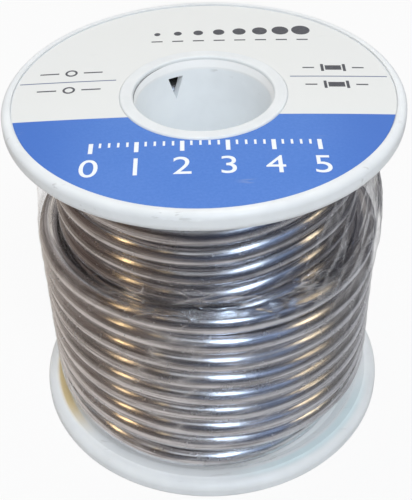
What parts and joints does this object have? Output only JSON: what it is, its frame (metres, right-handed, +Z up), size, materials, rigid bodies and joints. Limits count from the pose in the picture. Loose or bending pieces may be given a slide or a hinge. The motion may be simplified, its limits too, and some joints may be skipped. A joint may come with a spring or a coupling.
{
  "type": "solder wire spool",
  "caption": "Plastic spool of thick solder wire: flanged barrel with a round bore, part-filled outer wire layer under clear shrink film, and a paper label on the top flange.",
  "frame": {"origin": "centre of the bore at the outer face of the lower flange, on the surface that the spool stands on", "axes": "+Z up along the bore axis from the bare flange to the labelled one, -Y towards the coloured half of the label"},
  "size_m": [0.054, 0.054, 0.053],
  "materials": {
    "spool_plastic": "white, slightly translucent moulded plastic",
    "label_paper": "coated paper, printed",
    "solder_wire": "bright drawn tin-lead wire",
    "clear_film": "clear heat-shrink film"
  },
  "bodies": {
    "root": {"bottom_flange": "spool_plastic", "barrel": "spool_plastic", "top_flange": "spool_plastic", "top_label": "label_paper", "inner_wire_layers": "solder_wire", "outer_wire_layer": "solder_wire", "shrink_film": "clear_film"}
  },
  "joints": []
}
